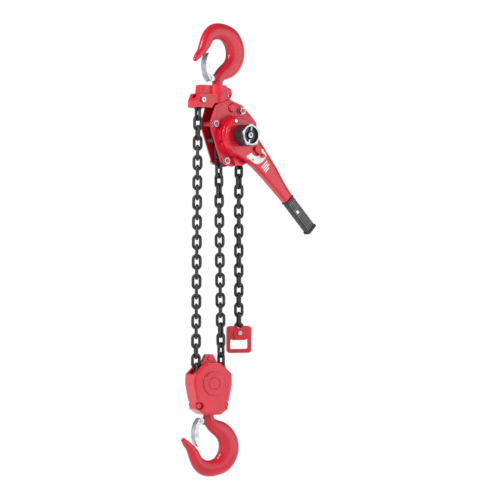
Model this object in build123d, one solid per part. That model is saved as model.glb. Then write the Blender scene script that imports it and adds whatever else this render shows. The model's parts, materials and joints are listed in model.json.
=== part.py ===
from build123d import *
from math import acos, atan2, cos, degrees, hypot, pi, radians, sin, sqrt, tan
import os

# Lever chain hoist on two falls of 30 mm pitch load chain.
# Frame: origin at the centre of the top hook's bowl, +Z up, front (lever side) towards -Y.

# ---- driving dimensions (mm, degrees) ----
WIRE_D = 9.2                  # load chain wire
PITCH = 30.0                  # load chain pitch
LINK_WIDTH = 30.4             # outer width of a link
LINK_GAP = 0.3                # play between the crowns of two links

HOOK_LAND_R = 37.0            # radius of the worn-in land in the saddle
NECK_R = 16.0                 # hook shank
HOOK_TO_HEAD = 102.0          # bowl centre to the face that the hook turns in
HEAD_WALL = 8.0               # wall that the shank passes through
THREAD_R = 12.0
NUT_R = 18.0
THRUST_R = 19.5
NUT_SPACE_R, NUT_SPACE = 20.3, 20.0   # hollow for the nut and its thrust ring
LATCH_PIVOT = (-30.0, -83.0)

SHAFT_X, SHAFT_Z = 43.0, -255.0
PLATE_IN, PLATE_OUT = 20.0, 26.0
STAY_R = 82.0
STAY_ANGLES = (71.0, 155.0, 246.0, 335.0)
STUD_NUMBER = 2               # the place whose stay would cross the live fall

GEAR_OFFSET = 30.0            # shaft axis to each intermediate gear's axis
PINION_TEETH, WHEEL_TEETH, MODULE_1 = 10, 30, 1.5
SMALL_TEETH, LOAD_TEETH, MODULE_2 = 10, 20, 2.0

COVER_R = 61.0
COVER_FRONT = -49.0
LEVER_BACK, LEVER_SPLIT, LEVER_FRONT = -50.0, -57.0, -66.0
LEVER_ANGLE = -45.0
LEVER_HEAD_R = 60.0
GRIP_START, GRIP_END = 264.0, 396.0

KNOB_R = 32.5
KNOB_BACK, KNOB_FRONT = -68.0, -110.0

DEAD_TOP = (-74.0, 0.0)       # chain anchor pin, X and Y
ANCHOR_Z = -150.0
ANCHOR_PIN_R = 5.2
BLOCK_X = -34.0               # block's turning axis
BLOCK_TURN = -11.0            # the block and its hook are turned about Z
BLOCK_HALF_FALL = 43.2        # block axis to each fall
BLOCK_JOINT_Z = -1005.0       # height where the falls meet the wrapped links
BLOCK_PIN_RISE = 7.7          # sheave pin above that height
DEAD_TWIST = -35.0            # the falls hang twisted by these angles
LIVE_TWIST = 55.0
SLACK_TWIST = 68.0            # the free end has turned the other way
RING_TURN = -22.0             # and its pull ring faces this way about Z

FLAT_SPAN = PITCH + LINK_GAP + WIRE_D     # between the end wires of one link
UPRIGHT_SPAN = 2 * PITCH - FLAT_SPAN      # between the neighbours' wires inside the next
CORNER_R = sqrt((FLAT_SPAN ** 2 + UPRIGHT_SPAN ** 2 + sqrt(2) * FLAT_SPAN * UPRIGHT_SPAN) / 2)
UPRIGHT_R = sqrt(CORNER_R ** 2 - UPRIGHT_SPAN ** 2 / 4)   # link centres round the load sheave
FLAT_R = sqrt(CORNER_R ** 2 - FLAT_SPAN ** 2 / 4)
FIRST_POCKET = 22.5           # angle of the pocket nearest the slack side
CORNER_ANGLE = FIRST_POCKET - degrees(acos(FLAT_R / CORNER_R))   # where the chain leaves the sheave
LIVE_X = SHAFT_X - CORNER_R * cos(radians(CORNER_ANGLE))
SLACK_X = SHAFT_X + CORNER_R * cos(radians(CORNER_ANGLE))
LEAVING_Z = SHAFT_Z + CORNER_R * sin(radians(CORNER_ANGLE))     # corner on the slack side
BLOCK_PIN_Z = BLOCK_JOINT_Z + BLOCK_PIN_RISE
BLOCK_BASE_DROP = 94.5        # sheave pin to the block's base
BLOCK_BASE_Z = BLOCK_PIN_Z - BLOCK_BASE_DROP
LOWER_BOWL_Z = BLOCK_BASE_Z - HOOK_TO_HEAD


# ---- helpers ----
def rod(radius, y_from, y_to, x=0.0, z=0.0):
    """Round bar along Y."""
    bar = Cylinder(radius, abs(y_to - y_from))
    return Pos(x, (y_from + y_to) / 2, z) * Rot(90, 0, 0) * bar


def tube(outer, inner, y_from, y_to, x=0.0, z=0.0):
    bore = rod(inner, min(y_from, y_to) - 1, max(y_from, y_to) + 1, x, z)
    return rod(outer, y_from, y_to, x, z) - bore


def post(radius, z_from, z_to, x=0.0, y=0.0):
    """Round bar along Z."""
    return Pos(x, y, (z_from + z_to) / 2) * Cylinder(radius, abs(z_to - z_from))


def block(x_range, y_range, z_range):
    lows = [min(r) for r in (x_range, y_range, z_range)]
    highs = [max(r) for r in (x_range, y_range, z_range)]
    middle = [(lo + hi) / 2 for lo, hi in zip(lows, highs)]
    return Pos(*middle) * Box(*[hi - lo for lo, hi in zip(lows, highs)])


def slab(sketch, y_front, y_back):
    """Sketch drawn in X and Z, made solid between two Y values."""
    plane = Plane.XZ.offset(-y_back)
    return extrude(plane * sketch, y_back - y_front)


def polar(radius, angle, x=0.0, z=0.0):
    return x + radius * cos(radians(angle)), z + radius * sin(radians(angle))


def hexagon(across_flats, y_front, y_back, x, z, turn=0.0):
    outline = Pos(x, z) * Rot(0, 0, turn) * RegularPolygon(across_flats / 2, 6, major_radius=False)
    return slab(outline, y_front, y_back)


def rounded(points, radius):
    return fillet(make_face(Polyline(*points, close=True)).vertices(), radius)


def export(name, shape):
    shape.label = name
    export_step(shape, f"parts/{name}.step")


def save(name, *shapes):
    """Write one node; several shapes stay separate solids."""
    solids = [solid for shape in shapes for solid in shape.solids()]
    export(name, solids[0] if len(solids) == 1 else Compound(children=solids))


# ---- hooks ----
HOOK_SECTIONS = (
    # centre x, z, in-plane direction in degrees, half width, half thickness
    (0.0, -HOOK_TO_HEAD, 0.0, NECK_R, NECK_R),
    (1.5, -87.0, -6.0, 17.5, 16.5),
    (21.0, -67.0, -30.0, 25.0, 18.0),
    (57.0, -37.0, -20.0, 30.0, 19.5),
    (68.0, 0.0, 0.0, 33.0, 20.0),
    (46.5, 46.5, 45.0, 30.5, 20.0),
    (0.0, 60.2, 90.0, 25.2, 19.0),
    (-38.5, 38.5, 135.0, 20.5, 17.0),
    (-53.5, 8.0, 165.0, 17.0, 14.0),
    (-70.0, -12.0, 138.0, 11.5, 10.0),
    (-84.0, -27.5, 132.0, 7.5, 7.0),
)


def hook_section(x, z, angle, half_width, half_thickness):
    across = Vector(cos(radians(angle)), 0, sin(radians(angle)))
    along = Vector(-sin(radians(angle)), 0, cos(radians(angle)))
    return Plane(origin=(x, 0, z), x_dir=across, z_dir=along) * Ellipse(half_width, half_thickness)


def hook():
    """Forged hook, bowl centre at the origin, shank pointing down."""
    body = loft([hook_section(*values) for values in HOOK_SECTIONS])
    tip_x, tip_z, _, tip_r, _ = HOOK_SECTIONS[-1]
    body += Pos(tip_x, 0, tip_z) * Sphere(tip_r * 0.97)
    pivot_x, pivot_z = LATCH_PIVOT
    lug = rounded([(pivot_x - 4, pivot_z - 6), (-2, pivot_z - 9), (2, pivot_z + 18),
                   (pivot_x - 3, pivot_z + 7)], 5)
    body += slab(lug, -8, 8)
    body += post(NECK_R, -HOOK_TO_HEAD - HEAD_WALL, -HOOK_TO_HEAD)
    body += post(THREAD_R, -HOOK_TO_HEAD - HEAD_WALL - NUT_SPACE + 2, -HOOK_TO_HEAD - HEAD_WALL)
    body -= rod(HOOK_LAND_R, -30, 30)
    body -= rod(3.1, -20, 20, pivot_x, pivot_z)
    return body


def hook_nut():
    """Shank nut that carries the hook on its thrust ring."""
    top = -HOOK_TO_HEAD - HEAD_WALL - 0.1
    nut = post(NUT_R, top - 17, top - 4.2)
    nut = chamfer(nut.edges().filter_by(GeomType.CIRCLE), 1.5)
    thrust_ring = post(THRUST_R, top - 4, top)
    return [part - post(THREAD_R + 0.05, top - 60, top + 10) for part in (nut, thrust_ring)]


def latch():
    """Pressed safety latch, a bowed channel with its web on the outside."""
    pivot_x, pivot_z = LATCH_PIVOT
    web = [(-37.5, -89), (-47, -74), (-52.3, -54), (-52.6, -34), (-49, -20), (-42, -7)]
    inside = [(-37.5, -9), (-37.5, -60), (-30, -72), (-22, -79)]
    outline = make_face(Polyline(*web, *inside, (-22, -88), close=True)) + Pos(*LATCH_PIVOT) * Circle(9)
    room = make_face(Polyline((-36, -100), (-35, -86), (-44, -72), (-49.6, -54), (-50, -34),
                              (-46.5, -20), (-39, -4), (0, 0), (0, -100), close=True))
    shell = slab(outline, -13, 13) - slab(room, -10.6, 10.6)
    return shell - rod(3.1, -20, 20, pivot_x, pivot_z)


def latch_pin():
    pivot_x, pivot_z = LATCH_PIVOT
    pin = rod(3.05, -14.5, 14.5, pivot_x, pivot_z)
    return pin + rod(4.8, -15.5, -13.3, pivot_x, pivot_z) + rod(4.8, 13.3, 15.5, pivot_x, pivot_z)


def latch_spring():
    """Two-turn torsion coils on both sides of the lug, drawn as rings with a leg."""
    pivot_x, pivot_z = LATCH_PIVOT
    coils = []
    for y in (-9.4, 9.4):
        coil = tube(5.2, 3.4, y - 0.9, y + 0.9, pivot_x, pivot_z)
        leg = Pos(pivot_x - 6.5, y, pivot_z + 10) * Rot(0, -18, 0) * Cylinder(0.8, 18)
        coils.append(coil + leg)
    return coils


# ---- yoke ----
YOKE_OUTLINE = [(-88, -164), (-78, -137), (-70, -128), (-66, -103), (-12, -103), (18, -106),
                (38, -114), (41, -130), (33, -143), (-6, -160), (-27, -158), (-40, -172), (-86, -172)]
YOKE_BOLTS = ((-47.0, -147.0), (-18.0, -146.0))
UPPER_PIN = (28.0, -134.0)
LOWER_PIN = (36.0, -170.0)
LINK_ROOM_Z = -134.5          # top of the slot for the anchored link
YOKE_Y = 22.0
UPPER_PIN_R, LOWER_PIN_R = 6.0, 8.0
YOKE_BLIND = 16.0
BOLT_SPOT_R = 8.3


FOOT_OUTLINE = [(-94, -172), (-94, -152), (-84, -130), (-40, -130), (-29, -150), (-27, -158),
                (-40, -173), (-90, -173)]
FOOT_RISE = 3.0               # the foot stands proud of the yoke's faces


def bolt_seat(x):
    """Depth of the face under a yoke bolt's head."""
    return YOKE_Y + (FOOT_RISE if x < -40 else 0.0)


def yoke_half(side):
    """One casting of the split yoke; side is -1 at the front and 1 at the rear."""
    y_split, y_face = side * 0.1, side * YOKE_Y
    body = slab(rounded(YOKE_OUTLINE, 4), min(y_split, y_face), max(y_split, y_face))
    face = body.faces().sort_by(Axis.Y)[0 if side < 0 else -1]
    body = fillet(face.edges(), 3)
    half_space = block((-150, 60), (y_split, side * 40), (-190, -90))
    foot = slab(rounded(FOOT_OUTLINE, 4), -YOKE_Y - FOOT_RISE, YOKE_Y + FOOT_RISE)
    foot = fillet(foot.faces().sort_by(Axis.Y)[0 if side < 0 else -1].edges(), 2)
    if side < 0:
        body -= block((-120, -10), (-60, -4), (-131, -90))
    body += foot & half_space
    boss = post(28, -158, -103) + post(21, -HOOK_TO_HEAD - 4, -HOOK_TO_HEAD)
    body += boss & half_space
    nut_space_top = -HOOK_TO_HEAD - HEAD_WALL
    body -= post(NECK_R + 0.3, nut_space_top, -90)
    body -= post(NUT_SPACE_R, nut_space_top - NUT_SPACE, nut_space_top)
    body -= block((DEAD_TOP[0] - 16.5, DEAD_TOP[0] + 16.5), (-7.5, 7.5), (-180, LINK_ROOM_Z))
    body -= block((DEAD_TOP[0] - 16.5, DEAD_TOP[0] + 16.5), (-18, 18), (-180, -160))
    body -= block((12, 60), (-9.5, 9.5), (-175, -118))
    plate_room = slab(offset(plate_outline(), 1.2), -60, 60)
    body -= plate_room & block((-150, 150), (side * (PLATE_IN - 0.5), side * 60), (-400, 0))
    for x, z in YOKE_BOLTS:
        body -= rod(4.1, -YOKE_BLIND - 0.5, 40, x, z)
        body -= rod(BOLT_SPOT_R, bolt_seat(x), 40, x, z)
    body -= rod(ANCHOR_PIN_R + 0.05, -15, 15, DEAD_TOP[0], ANCHOR_Z)
    body -= rod(UPPER_PIN_R + 0.05, -18, 18, *UPPER_PIN)
    body -= rod(UPPER_PIN_R - 1, side * 17.9, side * 30, *UPPER_PIN)
    return body


def yoke_bolts():
    """Clamping bolts, headed at the rear and blind in the front half."""
    bolts = []
    for x, z in YOKE_BOLTS:
        seat = bolt_seat(x)
        head = hexagon(13, seat + 0.1, seat + 6, x, z, 15)
        bolts.append(rod(4.0, -YOKE_BLIND, seat + 1, x, z) + head)
    return bolts


def yoke_pins():
    """Chain anchor pin, then the upper and lower pins of the hanger link."""
    return [rod(ANCHOR_PIN_R, -14.5, 14.5, DEAD_TOP[0], ANCHOR_Z),
            rod(UPPER_PIN_R, -17.8, 17.8, *UPPER_PIN),
            rod(LOWER_PIN_R, -PLATE_OUT, PLATE_OUT, *LOWER_PIN)]


def anchor_screw():
    """Hex screw in the yoke's face that locks the anchor pin."""
    x, z = DEAD_TOP[0] - 2, ANCHOR_Z
    face = -YOKE_Y - FOOT_RISE
    return hexagon(14, face - 8, face - 0.1, x, z, 20) - rod(3, face - 9, face - 4, x, z)


def hanger_link():
    """Link between the yoke and the hoist body."""
    (x1, z1), (x2, z2) = UPPER_PIN, LOWER_PIN
    outline = make_hull((Pos(x1, z1) * Circle(11) + Pos(x2, z2) * Circle(15)).edges())
    plate = slab(outline, -9, 9)
    plate -= rod(UPPER_PIN_R + 0.05, -30, 30, *UPPER_PIN)
    return plate - rod(LOWER_PIN_R + 0.05, -30, 30, *LOWER_PIN)


# ---- hoist body ----
PLATE_OUTLINE = [(-71, 91), (-18, 111), (34, 94), (66, 66), (88, 44), (95, -30), (84, -50),
                 (48, -82), (-10, -93), (-48, -80), (-86, 19), (-88, 40)]


def stay_points():
    return [polar(STAY_R, angle, SHAFT_X, SHAFT_Z) for angle in STAY_ANGLES]


def plate_outline():
    return Pos(SHAFT_X, SHAFT_Z) * rounded(PLATE_OUTLINE, 9)


def side_plate(side):
    """Side plate with bearing seat, stay holes and a domed seat for the lower hanger pin."""
    y_in, y_out = side * PLATE_IN, side * PLATE_OUT
    plate = slab(plate_outline(), min(y_in, y_out), max(y_in, y_out))
    outer = plate.faces().sort_by(Axis.Y)[0 if side < 0 else -1]
    plate = fillet(outer.edges(), 2)
    plate += rod(14, y_in, side * (PLATE_OUT + 6), *LOWER_PIN)
    dome = plate.faces().sort_by(Axis.Y)[0 if side < 0 else -1]
    plate = fillet(dome.edges(), 4)
    plate -= rod(LOWER_PIN_R + 0.05, -PLATE_OUT, PLATE_OUT, *LOWER_PIN)
    plate -= rod(22.52, -40, 40, SHAFT_X, SHAFT_Z)
    for x, z in stay_points():
        plate -= rod(6.1, -40, 40, x, z)
    if side > 0:
        small_holes = case_screws()
        for sign in (-1, 1):
            plate -= rod(5.05, 0, 40, SHAFT_X, SHAFT_Z + sign * GEAR_OFFSET)
    else:
        small_holes = cover_screw_points() + [pawl_pivot(angle) for angle in PAWL_ANGLES]
    for x, z in small_holes:
        plate -= rod(2.55, -40, 40, x, z)
    return plate


def stay_bolts():
    """Shouldered stays between the plates, and two short studs where the live fall passes."""
    end = PLATE_OUT + 13
    bolts = []
    for number, (x, z) in enumerate(stay_points()):
        if number == STUD_NUMBER:
            bolts += [rod(6, side * (PLATE_IN + 0.1), side * end, x, z) for side in (-1, 1)]
        else:
            shoulder = rod(8.5, -PLATE_IN + 0.05, PLATE_IN - 0.05, x, z)
            bolts.append(rod(6, -end, end, x, z) + shoulder)
    return bolts


def stay_nuts():
    nuts = []
    for x, z in stay_points():
        for side in (-1, 1):
            near, far = side * (PLATE_OUT + 0.05), side * (PLATE_OUT + 11)
            nut = hexagon(19, min(near, far), max(near, far), x, z, 10)
            nut += rod(11.5, near, side * (PLATE_OUT + 2), x, z)
            nuts.append(nut - rod(6.02, -60, 60, x, z))
    return nuts


def sheave_bearings():
    return [tube(22.5, 15.55, side * 20.3, side * 28, SHAFT_X, SHAFT_Z) for side in (-1, 1)]


def load_sheave():
    """Four-pocket load sheave with hollow journals."""
    body = rod(43, -18, 18)
    body -= tube(60, 19.2, -6.2, 6.2)
    pocket = block((FLAT_R - WIRE_D / 2 - 0.4, 60), (-16.9, 16.9), (-26, 26))
    for quarter in range(4):
        body -= Rot(0, -90 * quarter - FIRST_POCKET, 0) * pocket
    body += rod(19.2, -18, 18)
    body += rod(15.5, -29, 29)
    body += rod(12.5, 28, 40.5)
    body -= rod(8.1, -60, 60)
    return Pos(SHAFT_X, 0, SHAFT_Z) * body


def chain_guides():
    """Two guide rollers outside the sheave, on stubs of the side plates."""
    rollers = []
    for side in (-1, 1):
        x = SHAFT_X + side * (UPRIGHT_R + 26)
        stub = rod(5, -PLATE_IN + 0.3, PLATE_IN - 0.3, x, SHAFT_Z - 12)
        rollers.append(stub + rod(7.5, -12, 12, x, SHAFT_Z - 12))
    return rollers


def chain_stripper():
    """Tongue below the sheave that keeps the two runs of chain apart."""
    tongue = rounded([(-14, -52), (14, -52), (10, -82), (-10, -82)], 4)
    return slab(Pos(SHAFT_X, SHAFT_Z) * tongue, -PLATE_IN + 0.1, PLATE_IN - 0.1)


# ---- gears ----
PRESSURE_ANGLE = 25.0
BACKLASH = 0.18


def flank_angle(radius, pitch_r, base_r, half_tooth):
    """Half of the tooth's angle at a radius, on an involute flank."""
    def involute(r):
        pressure = acos(min(1.0, base_r / r))
        return tan(pressure) - pressure
    return half_tooth + involute(pitch_r) - involute(max(radius, base_r))


def gear(teeth, module, y_front, y_back, gap_at=None):
    """Spur gear on the origin; a tooth stands at +Z, or a gap at the angle gap_at."""
    pitch_r = module * teeth / 2
    base_r = pitch_r * cos(radians(PRESSURE_ANGLE))
    tip_r, root_r = pitch_r + 0.8 * module, pitch_r - 1.05 * module
    half_tooth = pi / 2 / teeth - BACKLASH / 2 / pitch_r
    first = radians(90.0 if gap_at is None else gap_at + 180.0 / teeth)
    start_r = max(base_r, root_r)
    radii = [start_r + (tip_r - start_r) * step / 3 for step in range(4)]
    points = []
    for tooth in range(teeth):
        middle = first + 2 * pi * tooth / teeth
        side = [(r, flank_angle(r, pitch_r, base_r, half_tooth)) for r in radii]
        if start_r > root_r:
            side.insert(0, (root_r, side[0][1]))
        for r, angle in side:
            points.append((r * cos(middle - angle), r * sin(middle - angle)))
        for r, angle in reversed(side):
            points.append((r * cos(middle + angle), r * sin(middle + angle)))
    return slab(make_face(Polyline(*points, close=True)), y_front, y_back)


def load_gear():
    wheel = gear(LOAD_TEETH, MODULE_2, 30.5, 40) - rod(12.52, 0, 60)
    return Pos(SHAFT_X, 0, SHAFT_Z) * wheel


def intermediate_gear(side):
    """Double gear above (1) or below (-1) the shaft, on its own journals."""
    towards_shaft = -90.0 * side
    body = gear(SMALL_TEETH, MODULE_2, 30, 42.2, towards_shaft)
    body += gear(WHEEL_TEETH, MODULE_1, 42, 50, towards_shaft)
    body += rod(5, 20.5, 57)
    return Pos(SHAFT_X, 0, SHAFT_Z + side * GEAR_OFFSET) * body


def drive_shaft():
    """Long shaft through the sheave: pinion at the rear, brake thread and knob seat in front."""
    body = rod(8, -98, 41.5) + gear(PINION_TEETH, MODULE_1, 41.3, 50.5) + rod(5, 50, 57)
    return Pos(SHAFT_X, 0, SHAFT_Z) * body


def gear_case():
    """Deep cover over the gear train."""
    def outline(grow):
        circles = Circle(43 + grow)
        for sign in (-1, 1):
            circles += Pos(0, sign * GEAR_OFFSET) * Circle(26.5 + grow)
        return Pos(SHAFT_X, SHAFT_Z) * make_hull(circles.edges())
    case = slab(outline(3), PLATE_OUT + 0.1, 61)
    case = fillet(case.faces().sort_by(Axis.Y)[-1].edges(), 7)
    case -= slab(outline(0), PLATE_OUT, 53)
    for z in (-GEAR_OFFSET, 0, GEAR_OFFSET):
        case += rod(9, 51, 55, SHAFT_X, SHAFT_Z + z)
        case -= rod(5.05, 40, 57.5, SHAFT_X, SHAFT_Z + z)
    flange = slab(outline(10), PLATE_OUT + 0.1, 30) - slab(outline(0), 0, 60)
    case += flange
    for x, z in case_screws():
        case -= rod(2.6, 20, 35, x, z)
    return case


def case_screws():
    """Six flange screws of the gear case."""
    return [(SHAFT_X + x, SHAFT_Z + z) for x in (-50.6, 50.6) for z in (-8, 8)] + [
        (SHAFT_X, SHAFT_Z + sign * 64.2) for sign in (-1, 1)]


def cover_screw_points():
    return [polar(COVER_R + 1.5, angle, SHAFT_X, SHAFT_Z) for angle in (28, 113, 198)]


def cover_screws():
    """Cap screws of the gear case and of the brake cover."""
    screws = [rod(2.5, 20.5, 31, x, z) + rod(4.2, 30.05, 33.5, x, z) for x, z in case_screws()]
    for x, z in cover_screw_points():
        screws.append(rod(2.5, -34, -22, x, z) + rod(4.2, -33.5, -30.05, x, z))
    return screws


# ---- brake ----
HUB_Y = (-32.5, -29.0)
DISC_FRONTS = (-35.2, -42.5)
DISC_T = 2.5
RATCHET_Y = (-39.8, -35.4)
CLAMP_Y = (-45.2, -42.7)
RATCHET_R = 42.0
RATCHET_TEETH = 16
PAWL_ANGLES = (135.0, 315.0)
PAWL_PIVOT_R = 52.4


def brake_cover():
    """Stepped round cover over the ratchet brake, with a wide hole for the change gear."""
    body = rod(COVER_R - 1, COVER_FRONT, -PLATE_OUT - 0.1)
    body = fillet(body.faces().sort_by(Axis.Y)[0].edges(), 4)
    body += rod(COVER_R + 2, -42, -PLATE_OUT - 0.1)
    body += rod(27, -40, -PLATE_OUT - 0.1, 14, -62)
    body += rod(COVER_R + 5, -30, -PLATE_OUT - 0.1)
    body -= rod(COVER_R - 4, COVER_FRONT + 3, 0)
    body -= rod(23, -37, 0, 14, -62)
    body -= rod(27, -70, 0)
    body = Pos(SHAFT_X, 0, SHAFT_Z) * body
    for x, z in cover_screw_points():
        body -= rod(2.6, -60, 0, x, z)
        body -= rod(4.4, -60, -30, x, z)
    for x, z in stay_points():
        body -= rod(12.3, -60, 0, x, z)
    return body


def on_shaft(shape):
    return Pos(SHAFT_X, 0, SHAFT_Z) * shape


def brake_hub():
    return on_shaft(rod(38, *HUB_Y) + rod(15, CLAMP_Y[1] + 0.1, HUB_Y[1]) - rod(8.02, -60, 0))


def friction_discs():
    return [on_shaft(tube(38, 15.2, y, y + DISC_T)) for y in DISC_FRONTS]


def ratchet_disc():
    """Ratchet wheel clamped between the two friction discs."""
    points = []
    for tooth in range(RATCHET_TEETH):
        angle = 360.0 * tooth / RATCHET_TEETH
        points.append(polar(RATCHET_R, angle))
        points.append(polar(RATCHET_R - 5.5, angle + 2.0))
    disc = slab(make_face(Polyline(*points, close=True)), *RATCHET_Y)
    return on_shaft(disc - rod(15.2, -60, 0))


def pawl_pivot(angle):
    return polar(PAWL_PIVOT_R, angle, SHAFT_X, SHAFT_Z)


def brake_pawl(angle):
    """Pawl that rests just clear of the ratchet teeth."""
    x, z = pawl_pivot(angle)
    tooth_x, tooth_z = polar(RATCHET_R + 1.2, angle - 30, SHAFT_X, SHAFT_Z)
    along = degrees(atan2(tooth_z - z, tooth_x - x))
    length = hypot(tooth_x - x, tooth_z - z)
    outline = make_face(Polyline((0, 4.2), (length - 1, 3.5), (length, 0.2), (length - 4, -0.2),
                                 (0, -4.2), close=True)) + Circle(4.2)
    pawl = slab(Pos(x, z) * Rot(0, 0, along) * outline, *RATCHET_Y)
    return pawl - rod(2.55, -60, 0, x, z)


def pawl_pins():
    return [rod(2.5, -42, -22, *pawl_pivot(angle)) for angle in PAWL_ANGLES]


CHANGE_GEAR_R = 24.0
PAWL_THROW = 18.0             # swing of the selector either way from neutral


def change_gear():
    """Threaded clamp flange and toothed rim that the lever's pawl drives."""
    body = rod(25, -51, CLAMP_Y[1]) + rod(36, *CLAMP_Y)
    rim = Circle(CHANGE_GEAR_R)
    for tooth in range(12):
        angle = 360.0 * (tooth + 0.5) / 12
        rim -= Pos(*polar(25.5, angle)) * Circle(4)
    body += slab(rim, -61.5, -50.5)
    return on_shaft(body - rod(8.02, -80, 0))


# ---- lever ----
def in_lever(shape):
    """Place a shape drawn along +X from the shaft axis."""
    return on_shaft(Rot(0, -LEVER_ANGLE, 0) * shape)


ARM_OUTLINE = [(20, -54), (62, -40), (105, -30), (160, -24), (GRIP_START + 1, -18),
               (GRIP_START + 1, 16), (215, 21), (160, 31), (60, 41), (20, 54)]
ARM_BACK = -42.0
TANG_HALF = 12.0


def lever_outline(shrink=0.0):
    arm = rounded(ARM_OUTLINE, 4)
    outline = arm + Circle(LEVER_HEAD_R)
    return offset(outline, -shrink) if shrink else outline


def tang(y_front, y_back):
    """Bar that the grip is pushed on."""
    return block((GRIP_START - 8, GRIP_END - 14), (y_front, y_back), (-TANG_HALF - 1, TANG_HALF - 1))


SELECTOR_AT = (66.0, 10.0)


def lever_front():
    """Front pressing of the lever."""
    shell = slab(lever_outline(), LEVER_FRONT, LEVER_SPLIT - 0.05)
    shell = fillet(shell.faces().sort_by(Axis.Y)[0].edges(), 5)
    shell -= slab(lever_outline(3.5), LEVER_FRONT + 3, LEVER_SPLIT + 5)
    shell += tang(LEVER_FRONT + 4, LEVER_SPLIT - 0.05)
    shell -= rod(20, -80, 0)
    shell -= rod(6.05, -80, 0, *SELECTOR_AT)
    for number, (x, z) in enumerate(RIVETS):
        shell += rod(5, LEVER_FRONT + 2, LEVER_SPLIT - 0.05, x, z)
        shell -= rod(2.6, LEVER_FRONT + 3.9 if number else -80, 0, x, z)
    return in_lever(shell)


# places in the lever's own axes; the head's place is kept beside each
RIVETS = ((-49.0, 12.0), (-22.0, -46.0), (118.0, -18.0), (205.0, 0.0))
RIVET_HEADS = ("front", "sunk", "rear", "rear")
SUNK_R, SUNK_T = 4.0, 1.5      # flat head let into the rear pressing, over the brake cover


def lever_rear():
    """Rear pressing of the lever, deeper along the arm."""
    shell = slab(lever_outline(), LEVER_SPLIT + 0.05, LEVER_BACK)
    deep = slab(lever_outline() & Pos(200, 0) * Rectangle(250, 200), LEVER_BACK - 1, ARM_BACK)
    deep = fillet(deep.faces().sort_by(Axis.Y)[-1].edges(), 5)
    shell += deep
    hollow = lever_outline(3.5) & Pos(202, 0) * Rectangle(248, 200)
    shell -= slab(hollow, LEVER_SPLIT - 5, ARM_BACK - 3)
    shell -= slab(lever_outline(3.5), LEVER_SPLIT - 5, LEVER_BACK - 2.5)
    shell += tang(LEVER_SPLIT + 0.05, ARM_BACK - 4)
    shell -= rod(27, -80, 0)
    for (x, z), head in zip(RIVETS, RIVET_HEADS):
        back = ARM_BACK if head == "rear" else LEVER_BACK
        shell += rod(5, LEVER_SPLIT + 0.05, back - 2, x, z)
        shell -= rod(2.6, -80, 0, x, z)
        if head == "sunk":
            shell -= rod(SUNK_R + 0.1, back - SUNK_T - 0.2, 0, x, z)
    shell -= rod(5.05, LEVER_SPLIT, LEVER_BACK, *SELECTOR_AT)
    return in_lever(shell)


def lever_rivets():
    """Screws that hold the two pressings together."""
    screws = []
    for (x, z), head in zip(RIVETS, RIVET_HEADS):
        back = ARM_BACK if head == "rear" else LEVER_BACK
        if head == "rear":
            screw = rod(2.5, LEVER_FRONT + 4, back + 1, x, z) + hexagon(7, back + 0.05, back + 2.5, x, z)
        elif head == "sunk":
            screw = rod(2.5, LEVER_FRONT + 4, back - SUNK_T, x, z)
            screw += rod(SUNK_R, back - SUNK_T - 0.1, back - 0.2, x, z)
        else:
            screw = rod(2.5, LEVER_FRONT - 1, back - 0.1, x, z)
            screw += hexagon(9, LEVER_FRONT - 4, LEVER_FRONT - 0.05, x, z)
        screws.append(in_lever(screw))
    return screws


def lever_grip():
    """Moulded sleeve with an end flange, closed at the far end."""
    profile = RectangleRounded(LEVER_FRONT * -1 + ARM_BACK, 36, 5)
    start = GRIP_START + 1.2
    plane = Plane(origin=(start, (LEVER_FRONT + ARM_BACK) / 2, -1), x_dir=(0, 1, 0), z_dir=(1, 0, 0))
    length = GRIP_END - start
    sleeve = extrude(plane * profile, length)
    sleeve += extrude(plane * offset(profile, 1.5), 3)
    sleeve += extrude(plane.offset(length - 6) * offset(profile, 3), 6)
    core = block((0, GRIP_END - 13.9), (LEVER_FRONT + 3.9, ARM_BACK - 3.9),
                 (-TANG_HALF - 1.1, TANG_HALF - 0.9))
    return in_lever(sleeve - core)


def selector_lever():
    """Change-over lever on the front of the arm, with its spindle."""
    x, z = SELECTOR_AT
    body = rod(9, LEVER_FRONT - 8, LEVER_FRONT - 0.3, x, z)
    handle = rounded([(x - 2, z - 8), (x + 26, z - 5), (x + 32, z), (x + 26, z + 5), (x - 2, z + 8)], 3)
    body += slab(handle, LEVER_FRONT - 8, LEVER_FRONT - 3)
    grip = rounded([(x + 22, z - 5), (x + 33, z - 4), (x + 33, z + 4), (x + 22, z + 5)], 2)
    body += slab(grip, LEVER_FRONT - 14, LEVER_FRONT - 3)
    body += rod(6, -62, LEVER_FRONT - 1, x, z)
    return in_lever(body)


def change_pawl():
    """Two-sided pawl on the selector's spindle, here in neutral."""
    x, z = SELECTOR_AT
    inwards = 180 + degrees(atan2(z, x))
    reach = hypot(x, z) - CHANGE_GEAR_R - 0.6
    tips = [polar(reach, inwards + sign * PAWL_THROW, x, z) for sign in (-1, 1)]
    backs = [polar(24, inwards + sign * 17, x, z) for sign in (-1, 1)]
    notch = polar(33, inwards, x, z)
    outline = make_face(Polyline((x + 6, z + 7), backs[0], tips[0], notch, tips[1], backs[1],
                                 (x + 6, z - 7), close=True))
    body = slab(outline, -61.9, -54)
    return in_lever(body + rod(5, -56, LEVER_BACK - 2.6, x, z) + rod(5, -62, -54, x, z))


# ---- knob ----
RECESS_R = 26.0               # dished front of the knob


def knob():
    """Fluted free-chaining knob, a cup that slides on the shaft."""
    outline = Circle(KNOB_R)
    for flute in range(10):
        outline -= Pos(*polar(KNOB_R + 3.2, 36 * flute + 18)) * Circle(5)
    body = slab(outline, KNOB_FRONT + 4.2, KNOB_BACK)
    body -= slab(Circle(RECESS_R), KNOB_FRONT - 1, -101)
    body -= slab(Circle(KNOB_R - 6), -96, -77)
    body -= rod(11.5, -120, -90)
    body -= rod(8.1, -120, 0)
    return on_shaft(body)


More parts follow.
